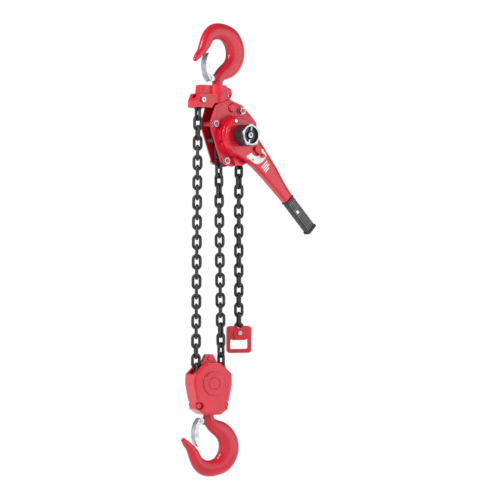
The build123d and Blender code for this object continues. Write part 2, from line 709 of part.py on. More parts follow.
def knob_ring():
    """Bright lobed ring on the knob's front edge."""
    outline = Circle(31)
    for lobe in range(5):
        outline += Pos(*polar(24, 72 * lobe + 20)) * Circle(10.5)
    ring = slab(outline, KNOB_FRONT, KNOB_FRONT + 4)
    ring = fillet(ring.faces().sort_by(Axis.Y)[0].edges(), 1)
    return on_shaft(ring - rod(RECESS_R, -130, 0))


def knob_clips():
    clips = []
    for angle in (80, 255):
        bar = block((-2.6, 2.6), (-106, -101.1), (13, 25.5))
        clips.append(on_shaft(Rot(0, 90 - angle, 0) * bar))
    return clips


def shaft_nut():
    """Round slotted nut on the shaft's end, over a stop washer inside the knob."""
    nut = rod(9.5, -108, -98.2)
    nut = chamfer(nut.faces().sort_by(Axis.Y)[0].edges(), 1.5)
    nut -= rod(4, -110, -104)
    collar = tube(12, 8.02, -88, -86)
    return [on_shaft(nut), on_shaft(collar)]


# ---- chain ----
def link():
    """One link, long axis along Z, lying in the XZ plane."""
    crown_r = (LINK_WIDTH - WIRE_D) / 2
    straight = PITCH + LINK_GAP + WIRE_D - 2 * crown_r
    ring = Torus(crown_r, WIRE_D / 2)
    upper = (Rot(90, 0, 0) * ring) & Pos(0, 0, 50) * Box(100, 100, 100)
    side = Cylinder(WIRE_D / 2, straight)
    body = Pos(0, 0, straight / 2) * upper + Pos(crown_r, 0, 0) * side + Pos(-crown_r, 0, 0) * side
    return body + Pos(0, 0, -straight / 2) * (Rot(180, 0, 0) * upper)


LINK = link()


def placed_link(centre, direction, twist):
    """Copy of the link with its long axis along direction, turned by twist about it."""
    along = Vector(*direction).normalized()
    plane = Plane(origin=centre, x_dir=Vector(0, 1, 0).cross(along), z_dir=along)
    return LINK.moved(plane.location * Rot(0, 0, twist))


def chain_run(start, end, count, first_turn, twists, ramp=5):
    """Straight run of links; twists are its turn at the start, along the run and at the end."""
    first, last = Vector(*start), Vector(*end)
    step = (last - first) * (1.0 / count)
    twist_start, twist_hang, twist_end = twists
    links = []
    for number in range(count):
        from_start = min(1.0, number / ramp)
        from_end = min(1.0, (count - 1 - number) / ramp)
        twist = twist_hang + (twist_start - twist_hang) * (1 - from_start)
        twist += (twist_end - twist_hang) * (1 - from_end)
        turn = first_turn + (90.0 if number % 2 else 0.0)
        links.append(placed_link(first + step * (number + 0.5), step, turn - twist))
    return links


def head_chain():
    """Links round the load sheave: flat ones in the pockets, upright ones between."""
    live_side = placed_link((LIVE_X, 0, LIVE_HANGS - FLAT_SPAN / 2), (0, 0, -1), 90.0)
    slack_side = placed_link((SLACK_X, 0, LEAVING_Z - UPRIGHT_SPAN / 2), (0, 0, -1), 0.0)
    links = [live_side, slack_side]
    for number in range(4):
        angle = FIRST_POCKET + 45.0 * number
        x, z = polar(UPRIGHT_R if number % 2 else FLAT_R, angle, SHAFT_X, SHAFT_Z)
        tangent = (sin(radians(angle)), 0, -cos(radians(angle)))
        links.append(placed_link((x, 0, z), tangent, 0.0 if number % 2 else 90.0))
    return links


def in_block(shape):
    """Place a shape drawn about the block's own axis."""
    return Pos(BLOCK_X, 0, 0) * Rot(0, 0, BLOCK_TURN) * shape


def block_point(x, z):
    turn = radians(BLOCK_TURN)
    return (BLOCK_X + x * cos(turn), x * sin(turn), z)


def block_chain():
    """Four links round the lower sheave."""
    links = []
    rise = (FLAT_SPAN - UPRIGHT_SPAN) / 2 * (sin(radians(60)) - sin(radians(20)))
    x, z = -BLOCK_HALF_FALL, BLOCK_JOINT_Z + rise
    for number, slope in enumerate((-60.0, -20.0, 20.0, 60.0)):
        dx, dz = cos(radians(slope)), sin(radians(slope))
        span, twist = (UPRIGHT_SPAN, 0.0) if number % 2 else (FLAT_SPAN, 90.0)
        centre = (x + dx * span / 2, 0, z + dz * span / 2)
        links.append(in_block(placed_link(centre, (dx, 0, dz), twist)))
        x, z = x + dx * span, z + dz * span
    return links


LIVE_HANGS = 2 * SHAFT_Z - LEAVING_Z      # corner on the live side, as far above the axis
FALL_TOP_LIVE = (LIVE_X, 0.0, LIVE_HANGS - (FLAT_SPAN + PITCH) / 2)
FALL_TOP_SLACK = (SLACK_X, 0.0, LEAVING_Z - (UPRIGHT_SPAN + PITCH) / 2)
FALL_TOP_DEAD = (DEAD_TOP[0], DEAD_TOP[1], ANCHOR_Z + ANCHOR_PIN_R + LINK_GAP)
LIVE_COUNT = round((FALL_TOP_LIVE[2] - BLOCK_JOINT_Z) / PITCH)
DEAD_COUNT = round((FALL_TOP_DEAD[2] - BLOCK_JOINT_Z) / PITCH)
SLACK_UPPER, SLACK_LOWER = 8, 11
SLACK_MID = (SLACK_X, 0.0, FALL_TOP_SLACK[2] - SLACK_UPPER * PITCH)
SLACK_END = (SLACK_X, 0.0, SLACK_MID[2] - SLACK_LOWER * PITCH)


def live_fall():
    end = block_point(BLOCK_HALF_FALL, BLOCK_JOINT_Z)
    return chain_run(FALL_TOP_LIVE, end, LIVE_COUNT, 0, (0, LIVE_TWIST, BLOCK_TURN), 8)


def dead_fall():
    end = block_point(-BLOCK_HALF_FALL, BLOCK_JOINT_Z)
    return chain_run(FALL_TOP_DEAD, end, DEAD_COUNT, 0, (0, DEAD_TWIST, BLOCK_TURN))


def slack_upper():
    return chain_run(FALL_TOP_SLACK, SLACK_MID, SLACK_UPPER, 90, (0, SLACK_TWIST, SLACK_TWIST), 8)


def slack_lower():
    return chain_run(SLACK_MID, SLACK_END, SLACK_LOWER, 90, (SLACK_TWIST, SLACK_TWIST, SLACK_TWIST))


# ---- end ring ----
RING_W, RING_H, RING_T = 77.0, 82.0, 15.0
RING_TOP = 26.0               # rim above the bearing point of the last link
RING_BOLT_R = 4.8
RING_NOTCH_R = 7.5             # in the rim, where the chain comes in


def in_ring(shape):
    """Place a shape drawn about the point where the last link bears on the ring's bolt."""
    return Pos(*SLACK_END) * Rot(0, 0, RING_TURN) * shape


def end_ring():
    """Cast pull ring with a hand slot and a round boss for the last link."""
    outline = Pos(0, RING_TOP - RING_H / 2) * RectangleRounded(RING_W, RING_H, 10)
    body = slab(outline, -RING_T / 2, RING_T / 2)
    slot = [(-28, -11), (-19, -17), (19, -17), (28, -11), (28, -44), (-28, -44)]
    body -= slab(rounded(slot, 4), -30, 30)
    for face_index in (0, -1):
        body = fillet(body.faces().sort_by(Axis.Y)[face_index].edges(), 2.5)
    body += rod(19, -RING_T / 2 - 3, RING_T / 2 + 3, 0, 2)
    body -= block((-18, 18), (-5.5, 5.5), (-13, 40))
    body -= rod(RING_NOTCH_R, -30, 30, 0, RING_TOP)
    body -= rod(RING_BOLT_R + 0.05, -30, 30, 0, RING_BOLT_R + LINK_GAP)
    return in_ring(body)


def end_ring_bolt():
    bolt = rod(RING_BOLT_R, -13, 13, 0, RING_BOLT_R + LINK_GAP)
    head = hexagon(12, -16, -RING_T / 2 - 3.1, 0, RING_BOLT_R + LINK_GAP)
    return in_ring(bolt + head)


# ---- lower block ----
SHELL_OUTLINE = [(-11, 86), (11, 86), (23, 64), (63, 26), (64, -4), (54, -52), (54, -76), (26, -94.5),
                 (-26, -94.5), (-54, -76), (-54, -52), (-64, -4), (-63, 26), (-23, 64)]
SHELL_Y = 36.0
BLOCK_BOLTS = ((45.0, -66.0), (-45.0, -66.0))
EAR_BOLT = (0.0, 74.0)
EAR_HALF = 9.0


def at_pin(shape):
    return in_block(Pos(0, 0, BLOCK_PIN_Z) * shape)


def block_shell(side):
    """One cast half of the block, open above where the falls enter."""
    y_in, y_out = side * 0.15, side * SHELL_Y
    body = slab(rounded(SHELL_OUTLINE, 7), min(y_in, y_out), max(y_in, y_out))
    body = chamfer(body.faces().sort_by(Axis.Y)[0 if side < 0 else -1].edges(), 6.5)
    body += rod(36, side * (SHELL_Y - 1), side * (SHELL_Y + 3.5))
    body = fillet(body.faces().sort_by(Axis.Y)[0 if side < 0 else -1].edges(), 2)
    ear_cut = block((-40, 40), (side * EAR_HALF, side * 60), (61, 100))
    body -= ear_cut
    body -= rod(60, -20.5, 20.5)
    for sign in (-1, 1):
        body -= block((sign * 24, sign * 59.6), (-18.5, 18.5), (-10, 100))
    body -= rod(18.05, -60, 60)
    body -= post(NECK_R + 0.3, -100, -82)
    body -= tube(19.4, 17, side * (SHELL_Y + 2), side * (SHELL_Y + 5))
    nut_floor = HEAD_WALL - BLOCK_BASE_DROP
    body -= post(NUT_SPACE_R, nut_floor, nut_floor + NUT_SPACE)
    for x, z in BLOCK_BOLTS:
        body -= rod(5.1, -60, 60, x, z)
        body -= rod(11, side * 21, side * 60, x, z)
        body -= block((x, x + (30 if x > 0 else -30)), (side * 21, side * 60), (z - 11, z + 11))
    body -= rod(4.1, -60, 60, *EAR_BOLT)
    return at_pin(body)


def block_bolts():
    bolts = []
    for x, z in BLOCK_BOLTS:
        head = hexagon(15, -28, -21.05, x, z, 12) + rod(9, -22.5, -21.05, x, z)
        bolts.append(rod(5, -22, 28, x, z) + head)
        bolts.append(hexagon(15, 21.05, 28, x, z) - rod(5.02, 0, 60, x, z))
    x, z = EAR_BOLT
    head = hexagon(13, -EAR_HALF - 5, -EAR_HALF - 0.05, x, z, 25)
    bolts.append(rod(4, -EAR_HALF - 1, EAR_HALF + 1, x, z) + head
                 + rod(6.5, EAR_HALF + 0.05, EAR_HALF + 4, x, z))
    return [at_pin(bolt) for bolt in bolts]


def block_sheave():
    """Plain grooved sheave: flat links ride on the rims, upright ones in the groove."""
    body = rod(33.7, -20, 20) - tube(60, 24.2, -6.2, 6.2)
    for side in (-1, 1):
        body += tube(47, 20, side * 17.2, side * 20)
    body -= rod(18.1, -60, 60)
    return at_pin(body)


def block_pin():
    pin = rod(18, -SHELL_Y - 3.3, SHELL_Y + 3.3)
    pin = chamfer(pin.edges().filter_by(GeomType.CIRCLE), 0.8)
    for side in (-1, 1):
        pin -= block((-2.5, 2.5), (side * (SHELL_Y + 1), side * 60), (-30, -15))
    return at_pin(pin)


def lower(shape):
    """Turn a part of the upper hook into its twin on the block."""
    flipped = mirror(shape, Plane.XY)
    return in_block(Pos(0, 0, LOWER_BOWL_Z) * flipped)


# ---- write the nodes ----
def main():
    os.makedirs("parts", exist_ok=True)
    upper_hook, upper_latch, pin = hook(), latch(), latch_pin()
    save("top_hook", upper_hook)
    save("top_hook_nut", *hook_nut())
    save("top_latch_pin", pin)
    save("top_latch", upper_latch)
    save("top_latch_spring", *latch_spring())
    save("bottom_hook", lower(upper_hook))
    save("bottom_hook_nut", *[lower(part) for part in hook_nut()])
    save("bottom_latch_pin", lower(pin))
    save("bottom_latch", lower(upper_latch))
    save("bottom_latch_spring", *[lower(part) for part in latch_spring()])

    save("yoke_front_half", yoke_half(-1))
    save("yoke_rear_half", yoke_half(1))
    save("yoke_bolts", *yoke_bolts(), anchor_screw())
    save("yoke_pins", *yoke_pins())
    save("hanger_link", hanger_link())

    save("front_plate", side_plate(-1))
    save("rear_plate", side_plate(1))
    save("stay_bolts", *stay_bolts())
    save("stay_nuts", *stay_nuts())
    save("sheave_bearings", *sheave_bearings())
    save("load_sheave", load_sheave())
    save("chain_guides", *chain_guides())
    save("chain_stripper", chain_stripper())

    save("load_gear", load_gear())
    save("intermediate_gear_upper", intermediate_gear(1))
    save("intermediate_gear_lower", intermediate_gear(-1))
    save("drive_shaft", drive_shaft())
    save("gear_case", gear_case())
    save("cover_screws", *cover_screws())

    save("brake_cover", brake_cover())
    save("brake_hub", brake_hub())
    save("friction_discs", *friction_discs())
    save("ratchet_disc", ratchet_disc())
    save("brake_pawl_upper", brake_pawl(PAWL_ANGLES[0]))
    save("brake_pawl_lower", brake_pawl(PAWL_ANGLES[1]))
    save("pawl_pins", *pawl_pins())
    save("change_gear", change_gear())

    save("lever_front_shell", lever_front())
    save("lever_rear_shell", lever_rear())
    save("lever_rivets", *lever_rivets())
    save("lever_grip", lever_grip())
    save("selector_lever", selector_lever())
    save("change_pawl", change_pawl())

    save("free_chain_knob", knob())
    save("knob_ring", knob_ring())
    save("knob_clips", *knob_clips())
    save("shaft_end_nut", *shaft_nut())

    save("head_chain", *head_chain())
    save("live_fall_chain", *live_fall())
    save("dead_fall_chain", *dead_fall())
    save("slack_chain_upper", *slack_upper())
    save("slack_chain_lower", *slack_lower())
    save("end_ring", end_ring())
    save("end_ring_bolt", end_ring_bolt())

    save("block_front_shell", block_shell(-1))
    save("block_rear_shell", block_shell(1))
    save("block_bolts", *block_bolts())
    save("block_sheave", block_sheave())
    save("block_pin", block_pin())
    save("block_chain", *block_chain())


main()
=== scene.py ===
import json
from math import cos, pi, radians, sin

import bpy
import bmesh
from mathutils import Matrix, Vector


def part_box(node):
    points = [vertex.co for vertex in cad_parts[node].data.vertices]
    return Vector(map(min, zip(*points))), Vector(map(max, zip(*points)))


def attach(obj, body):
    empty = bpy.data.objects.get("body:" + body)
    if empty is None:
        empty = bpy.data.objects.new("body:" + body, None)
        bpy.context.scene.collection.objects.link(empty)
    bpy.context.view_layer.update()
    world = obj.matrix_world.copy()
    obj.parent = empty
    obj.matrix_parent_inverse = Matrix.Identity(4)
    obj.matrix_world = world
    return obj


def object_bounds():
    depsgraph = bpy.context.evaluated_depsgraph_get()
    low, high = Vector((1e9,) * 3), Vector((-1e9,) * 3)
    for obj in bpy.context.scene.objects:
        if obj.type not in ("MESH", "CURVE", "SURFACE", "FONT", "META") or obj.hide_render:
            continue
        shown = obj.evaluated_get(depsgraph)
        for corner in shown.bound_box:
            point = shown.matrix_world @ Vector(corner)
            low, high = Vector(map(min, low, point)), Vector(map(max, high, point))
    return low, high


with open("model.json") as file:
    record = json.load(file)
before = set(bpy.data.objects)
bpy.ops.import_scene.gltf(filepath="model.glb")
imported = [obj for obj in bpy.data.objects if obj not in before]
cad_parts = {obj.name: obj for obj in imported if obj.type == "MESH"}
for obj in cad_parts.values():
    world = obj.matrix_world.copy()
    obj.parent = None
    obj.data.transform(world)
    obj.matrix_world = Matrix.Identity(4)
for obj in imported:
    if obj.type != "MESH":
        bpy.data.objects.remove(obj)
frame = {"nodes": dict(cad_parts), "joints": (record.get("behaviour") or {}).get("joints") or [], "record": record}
loaded_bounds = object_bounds()
nodes = frame["nodes"]
joints = {joint["name"]: joint for joint in frame["joints"]}
slot_of = {part["node"]: part["material_slot"] for part in frame["record"]["subparts"]}


# ---- shader helpers ----
EDGE_REACH = 0.0015            # how far wear runs in from an edge
EDGE_SAMPLES = 4
MIX_FIRST, MIX_SECOND, MIX_RESULT = 6, 7, 2     # the colour sockets of a Mix node


def new_material(name):
    material = bpy.data.materials.new(name)
    material.use_nodes = True
    tree = material.node_tree
    return material, tree, tree.nodes["Principled BSDF"]


def add_node(tree, kind, **inputs):
    node = tree.nodes.new(kind)
    for key, value in inputs.items():
        node.inputs[key.replace("_", " ")].default_value = value
    return node


def object_coordinates(tree):
    return tree.nodes.new("ShaderNodeTexCoord").outputs["Object"]


def noise(tree, scale, detail=3.0, roughness=0.5):
    node = add_node(tree, "ShaderNodeTexNoise", Scale=scale, Detail=detail, Roughness=roughness)
    tree.links.new(object_coordinates(tree), node.inputs["Vector"])
    return node.outputs["Fac"]


def ramp(tree, factor, stops):
    """Colour ramp; stops are (position, grey or colour)."""
    node = tree.nodes.new("ShaderNodeValToRGB")
    elements = node.color_ramp.elements
    while len(elements) < len(stops):
        elements.new(0.5)
    for element, (position, value) in zip(elements, stops):
        element.position = position
        element.color = (value, value, value, 1) if isinstance(value, float) else (*value, 1)
    tree.links.new(factor, node.inputs["Fac"])
    return node.outputs["Color"]


def edge_mask(tree, low, high):
    """White where the surface turns sharply, broken up by noise."""
    rounded = tree.nodes.new("ShaderNodeBevel")
    rounded.samples = EDGE_SAMPLES
    rounded.inputs["Radius"].default_value = EDGE_REACH
    geometry = tree.nodes.new("ShaderNodeNewGeometry")
    apart = tree.nodes.new("ShaderNodeVectorMath")
    apart.operation = "DISTANCE"
    tree.links.new(rounded.outputs["Normal"], apart.inputs[0])
    tree.links.new(geometry.outputs["Normal"], apart.inputs[1])
    edges = ramp(tree, apart.outputs["Value"], [(low, 0.0), (high, 1.0)])
    patches = ramp(tree, noise(tree, 160, 5), [(0.42, 0.0), (0.62, 1.0)])
    both = tree.nodes.new("ShaderNodeMath")
    both.operation = "MULTIPLY"
    tree.links.new(edges, both.inputs[0])
    tree.links.new(patches, both.inputs[1])
    return both.outputs["Value"]


def mix_colour(tree, factor, first, second):
    """Mix of two colours; each is a socket or a tuple."""
    node = tree.nodes.new("ShaderNodeMix")
    node.data_type = "RGBA"
    tree.links.new(factor, node.inputs["Factor"])
    for socket, value in ((node.inputs[MIX_FIRST], first), (node.inputs[MIX_SECOND], second)):
        if isinstance(value, tuple):
            socket.default_value = (*value, 1)
        else:
            tree.links.new(value, socket)
    return node.outputs[MIX_RESULT]


def add_bump(tree, shader, height, strength, distance):
    node = add_node(tree, "ShaderNodeBump", Strength=strength, Distance=distance)
    tree.links.new(height, node.inputs["Height"])
    tree.links.new(node.outputs["Normal"], shader.inputs["Normal"])


def painted(name, dark, light, bump_scale, bump_distance, wear=0.25):
    """Gloss enamel with slight mottling, orange peel and a little wear on the edges."""
    material, tree, shader = new_material(name)
    tone = ramp(tree, noise(tree, 14, 4), [(0.3, dark), (0.7, light)])
    worn = edge_mask(tree, 0.25, 0.55)
    scaled = add_node(tree, "ShaderNodeMath")
    scaled.operation = "MULTIPLY"
    scaled.inputs[1].default_value = wear
    tree.links.new(worn, scaled.inputs[0])
    colour = mix_colour(tree, scaled.outputs["Value"], tone, (0.16, 0.02, 0.02))
    tree.links.new(colour, shader.inputs["Base Color"])
    gloss = ramp(tree, noise(tree, 45, 5), [(0.3, 0.24), (0.75, 0.38)])
    tree.links.new(gloss, shader.inputs["Roughness"])
    shader.inputs["Specular IOR Level"].default_value = 0.38
    shader.inputs["Coat Weight"].default_value = 0.2
    shader.inputs["Coat Roughness"].default_value = 0.12
    add_bump(tree, shader, noise(tree, bump_scale, 3), 0.35, bump_distance)
    return material


def metal(name, dark, light, rough_low, rough_high, grain=(300, 300, 300), distance=0.00005):
    """Bare or plated metal with tool grain and smudges."""
    material, tree, shader = new_material(name)
    tone = ramp(tree, noise(tree, 60, 5), [(0.3, dark), (0.7, light)])
    tree.links.new(tone, shader.inputs["Base Color"])
    shader.inputs["Metallic"].default_value = 1.0
    gloss = ramp(tree, noise(tree, 110, 5), [(0.3, rough_low), (0.7, rough_high)])
    tree.links.new(gloss, shader.inputs["Roughness"])
    mapping = tree.nodes.new("ShaderNodeMapping")
    mapping.inputs["Scale"].default_value = grain
    tree.links.new(object_coordinates(tree), mapping.inputs["Vector"])
    fine = add_node(tree, "ShaderNodeTexNoise", Scale=1.0, Detail=4.0)
    tree.links.new(mapping.outputs["Vector"], fine.inputs["Vector"])
    add_bump(tree, shader, fine.outputs["Fac"], 0.4, distance)
    return material


def black_oxide(name, dark, light, metallic):
    """Blackened, oiled steel, rubbed brighter on its crowns."""
    material, tree, shader = new_material(name)
    tone = ramp(tree, noise(tree, 90, 5), [(0.3, dark), (0.7, light)])
    colour = mix_colour(tree, edge_mask(tree, 0.20, 0.50), tone, (0.20, 0.19, 0.18))
    tree.links.new(colour, shader.inputs["Base Color"])
    shader.inputs["Metallic"].default_value = metallic
    gloss = ramp(tree, noise(tree, 70, 4), [(0.3, 0.28), (0.7, 0.5)])
    tree.links.new(gloss, shader.inputs["Roughness"])
    add_bump(tree, shader, noise(tree, 420, 4), 0.35, 0.00012)
    return material


def moulded(name, dark, light, rough_low, rough_high, scale, distance):
    """Moulded plastic, rubber or lining."""
    material, tree, shader = new_material(name)
    tone = ramp(tree, noise(tree, 30, 5), [(0.3, dark), (0.7, light)])
    tree.links.new(tone, shader.inputs["Base Color"])
    gloss = ramp(tree, noise(tree, 80, 4), [(0.3, rough_low), (0.7, rough_high)])
    tree.links.new(gloss, shader.inputs["Roughness"])
    add_bump(tree, shader, noise(tree, scale, 4), 0.5, distance)
    return material


LOOKS = {
    "red_paint": painted("red enamel", (0.48, 0.003, 0.018), (0.58, 0.005, 0.026), 420, 0.00006),
    "forged_red": painted("red enamel on forging", (0.42, 0.003, 0.016), (0.52, 0.005, 0.024),
                          130, 0.0004, 0.15),
    "zinc": metal("zinc plate", (0.34, 0.36, 0.38), (0.56, 0.58, 0.60), 0.26, 0.46),
    "chain_steel": black_oxide("black oxide chain", (0.020, 0.018, 0.018), (0.050, 0.046, 0.044), 0.55),
    "black_plastic": moulded("black moulding", (0.010, 0.010, 0.011), (0.022, 0.022, 0.024),
                             0.32, 0.48, 500, 0.00008),
    "grip_rubber": moulded("grip rubber", (0.012, 0.012, 0.012), (0.028, 0.028, 0.028),
                           0.48, 0.68, 700, 0.00015),
    "machined_steel": metal("machined steel", (0.30, 0.31, 0.33), (0.46, 0.47, 0.49), 0.26, 0.44,
                            (200, 1600, 200)),
    "black_steel": black_oxide("blackened steel", (0.022, 0.022, 0.024), (0.05, 0.05, 0.052), 0.4),
    "brake_lining": moulded("friction lining", (0.10, 0.065, 0.04), (0.19, 0.13, 0.085),
                            0.75, 0.92, 900, 0.0002),
    "bright_ring": metal("bright plate", (0.24, 0.25, 0.27), (0.42, 0.43, 0.45), 0.22, 0.38),
}
# Lighter grey rubber for the grip ribs and bands: a painted highlight standing in for the light their crowns catch
RIB_RUBBER_PAINTED_HIGHLIGHT = moulded("rib rubber with painted highlight", (0.075, 0.075, 0.075), (0.15, 0.15, 0.15),
                      0.40, 0.55, 700, 0.0001)
PRINT = moulded("white print", (0.66, 0.66, 0.66), (0.80, 0.80, 0.80), 0.40, 0.55, 300, 0.00003)


NODE_BEVEL = 0.0006
DETAIL_BEVEL = 0.0003
BEVEL_FROM = radians(35)       # edges that turn by more than this are softened
WELD_DISTANCE = 0.00001


def dress(piece, look, bevel):
    """Give a piece its look, smooth shading and softened edges."""
    piece.data.materials.clear()
    piece.data.materials.append(look)
    for polygon in piece.data.polygons:
        polygon.use_smooth = True
    if bevel:
        modifier = piece.modifiers.new("edges", "BEVEL")
        modifier.width = bevel
        modifier.segments = 2
        modifier.limit_method = "ANGLE"
        modifier.angle_limit = BEVEL_FROM
    normals = piece.modifiers.new("normals", "WEIGHTED_NORMAL")
    normals.keep_sharp = True


# smooth already, so their edges need no softening
ROUND_NODES = ("head_chain", "live_fall_chain", "dead_fall_chain", "slack_chain_upper",
               "slack_chain_lower", "block_chain", "top_hook", "bottom_hook")
for name, node in nodes.items():
    merge = node.modifiers.new("merge", "WELD")
    merge.merge_threshold = WELD_DISTANCE
    dress(node, LOOKS[slot_of[name]], 0.0 if name in ROUND_NODES else NODE_BEVEL)


# ---- pieces that the looks add ----
def add_piece(name, vertices, faces, body, slot, look=None, bevel=DETAIL_BEVEL):
    """New piece with outward faces, riding on a body; its look is its slot's unless another is given."""
    mesh = bpy.data.meshes.new(name)
    mesh.from_pydata([tuple(v) for v in vertices], [], faces)
    piece = bpy.data.objects.new(name, mesh)
    bpy.context.scene.collection.objects.link(piece)
    whole = bmesh.new()
    whole.from_mesh(mesh)
    bmesh.ops.recalc_face_normals(whole, faces=whole.faces)
    whole.to_mesh(mesh)
    whole.free()
    dress(piece, look or LOOKS[slot], bevel)
    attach(piece, body)
    return piece


def upright(x, z, y):
    """Point of an outline drawn in the frame's own X and Z."""
    return Vector((x, y, z))


def prism_data(outline, front, back, place):
    """Vertices and faces of an outline made solid between two depths."""
    count = len(outline)
    vertices = [place(u, v, front) for u, v in outline] + [place(u, v, back) for u, v in outline]
    faces = [tuple(range(count)), tuple(range(count, 2 * count))[::-1]]
    for first in range(count):
        second = (first + 1) % count
        faces.append((first, first + count, second + count, second))
    return vertices, faces


def add_prisms(name, outlines, front, back, body, slot, place=upright, look=None,
               bevel=DETAIL_BEVEL):
    """Several outlines as solids of one piece."""
    vertices, faces = [], []
    for outline in outlines:
        more, more_faces = prism_data(outline, front, back, place)
        start = len(vertices)
        vertices += more
        faces += [tuple(index + start for index in face) for face in more_faces]
    return add_piece(name, vertices, faces, body, slot, look, bevel)


def bar(u_low, u_high, v_low, v_high):
    """Outline of a rectangle."""
    return [(u_low, v_low), (u_high, v_low), (u_high, v_high), (u_low, v_high)]


def arc(centre, radius, first, last, count):
    """Points on an arc, angles in degrees."""
    points = []
    for step in range(count + 1):
        angle = radians(first + (last - first) * step / count)
        points.append((centre[0] + radius * cos(angle), centre[1] + radius * sin(angle)))
    return points


SECTOR_STEPS = 24


def sector(centre, inner, outer, first, last):
    """Outline of part of a ring."""
    return arc(centre, outer, first, last, SECTOR_STEPS) + arc(centre, inner, last, first, SECTOR_STEPS)


def add_ring(name, centre, inner, outer, front, back, body, slot):
    """Flat ring, made of two halves."""
    halves = [sector(centre, inner, outer, 0, 180), sector(centre, inner, outer, 180, 360)]
    return add_prisms(name, halves, front, back, body, slot)


BEAD_SIDES = 8
DEPTH = Vector((0, 1, 0))


def add_bead(name, points, radius, body, slot):
    """Round bead along a line of points."""
    vertices, faces = [], []
    for number, point in enumerate(points):
        ahead = points[min(number + 1, len(points) - 1)]
        behind = points[max(number - 1, 0)]
        along = (ahead - behind).normalized()
        side = along.cross(DEPTH).normalized()
        lift = side.cross(along).normalized()
        for corner in range(BEAD_SIDES):
            angle = 2 * pi * corner / BEAD_SIDES
            vertices.append(point + (side * cos(angle) + lift * sin(angle)) * radius)
    for ring in range(len(points) - 1):
        here, beyond = ring * BEAD_SIDES, (ring + 1) * BEAD_SIDES
        for corner in range(BEAD_SIDES):
            after = (corner + 1) % BEAD_SIDES
            faces.append((here + corner, here + after, beyond + after, beyond + corner))
    last = (len(points) - 1) * BEAD_SIDES
    faces.append(tuple(range(BEAD_SIDES)))
    faces.append(tuple(last + corner for corner in range(BEAD_SIDES)))
    return add_piece(name, vertices, faces, body, slot, bevel=0.0)


# ---- lever ----
SHAFT = Vector(joints["lever_swing"]["pos_m"])
LEVER_TURN = radians(-45.0)
LEVER_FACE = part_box("lever_front_shell")[0].y
GRIP_FRONT, GRIP_BACK = -0.066, -0.042
GRIP_MIDDLE = -0.001           # across the lever
RIB_HALF, BAND_HALF = 0.0011, 0.0012
BAND_PLACES = (0.280, 0.303, 0.326, 0.349, 0.372)
RIB_PROUD, BAND_PROUD, ROOT = 0.0009, 0.0012, 0.0006
SELECTOR_AT = (0.066, 0.010)
PRINT_T, PRINT_ROOT = 0.00018, 0.0002
EDGE_BEAD_R, HEAD_BEAD_R = 0.0026, 0.0014


def in_lever(u, v, y):
    """Point from its distances along and across the lever, and its depth."""
    return Vector((SHAFT.x + u * cos(LEVER_TURN) - v * sin(LEVER_TURN), y,
                   SHAFT.z + u * sin(LEVER_TURN) + v * cos(LEVER_TURN)))


def lever_beads():
    """Pressed beads along both edges of the arm, and one round the head."""
    lower = [(0.066, -0.0335), (0.105, -0.0245), (0.160, -0.0185), (0.258, -0.0125)]
    upper = [(0.064, 0.0345), (0.160, 0.0250), (0.215, 0.0155), (0.258, 0.0110)]
    for name, line in (("arm_bead_lower", lower), ("arm_bead_upper", upper)):
        points = [in_lever(u, v, LEVER_FACE) for u, v in line]
        add_bead(name, points, EDGE_BEAD_R, "lever", "red_paint")
    head = [in_lever(u, v, LEVER_FACE) for u, v in arc((0, 0), 0.0515, 62, 298, 48)]
    add_bead("head_bead", head, HEAD_BEAD_R, "lever", "red_paint")


def grip_ribs():
    """Lengthwise and cross ribs of the grip, front and back, and its window."""
    lengthwise = [bar(0.272, 0.386, GRIP_MIDDLE + v - RIB_HALF, GRIP_MIDDLE + v + RIB_HALF)
                  for v in (-0.013, -0.0065, 0.0, 0.0065, 0.013)]
    across = [bar(u - BAND_HALF, u + BAND_HALF, GRIP_MIDDLE - 0.0165, GRIP_MIDDLE + 0.0165)
              for u in BAND_PLACES]
    # ribs and bands front and back take the lighter rubber, a painted highlight on their crowns
    for kind, outlines, proud in (("ribs", lengthwise, RIB_PROUD), ("bands", across, BAND_PROUD)):
        add_prisms(f"grip_{kind}_front", outlines, GRIP_FRONT - proud, GRIP_FRONT + ROOT, "lever",
                   "grip_rubber", in_lever, RIB_RUBBER_PAINTED_HIGHLIGHT)
        add_prisms(f"grip_{kind}_back", outlines, GRIP_BACK - ROOT, GRIP_BACK + proud, "lever",
                   "grip_rubber", in_lever, RIB_RUBBER_PAINTED_HIGHLIGHT)
    sides = [bar(u - BAND_HALF, u + BAND_HALF, v, v + 0.0008)
             for v in (GRIP_MIDDLE - 0.0183, GRIP_MIDDLE + 0.0175) for u in BAND_PLACES]
    add_prisms("grip_bands_side", sides, GRIP_FRONT + 0.004, GRIP_BACK - 0.004, "lever",
               "grip_rubber", in_lever)
    add_prisms("grip_window", [bar(0.3095, 0.3195, -0.0115, -0.0025)], GRIP_FRONT - 0.0014,
               GRIP_FRONT, "lever", "grip_rubber", in_lever, PRINT)


def lever_label():
    """Printed direction plate round the selector: a pale arc with two plain arrows, and bars."""
    skin = LEVER_FACE - PRINT_T
    plate = [sector(SELECTOR_AT, 0.021, 0.044, -105, 50)]
    add_prisms("label_arc", plate, skin, LEVER_FACE + PRINT_ROOT, "lever", "red_paint", in_lever,
               PRINT, 0.0)
    marks = []
    for angle in (-66, 40):
        u, v = arc(SELECTOR_AT, 0.0335, angle, angle, 1)[0]
        marks.append([(u - 0.004, v - 0.003), (u + 0.004, v - 0.003), (u, v + 0.005)])
    add_prisms("label_arrows", marks, skin - 0.0001, LEVER_FACE, "lever", "black_plastic",
               in_lever, None, 0.0)
    lines = [bar(u, u + 0.0035, -0.013, width - 0.013) for u, width in
             ((0.118, 0.030), (0.1245, 0.026), (0.131, 0.028), (0.1375, 0.020))]
    add_prisms("label_bars", lines, skin, LEVER_FACE + PRINT_ROOT, "lever", "red_paint", in_lever,
               PRINT, 0.0)


# ---- hoist body ----
PLATE_FACE = -0.026
PLATE_BEAD_R = 0.0012


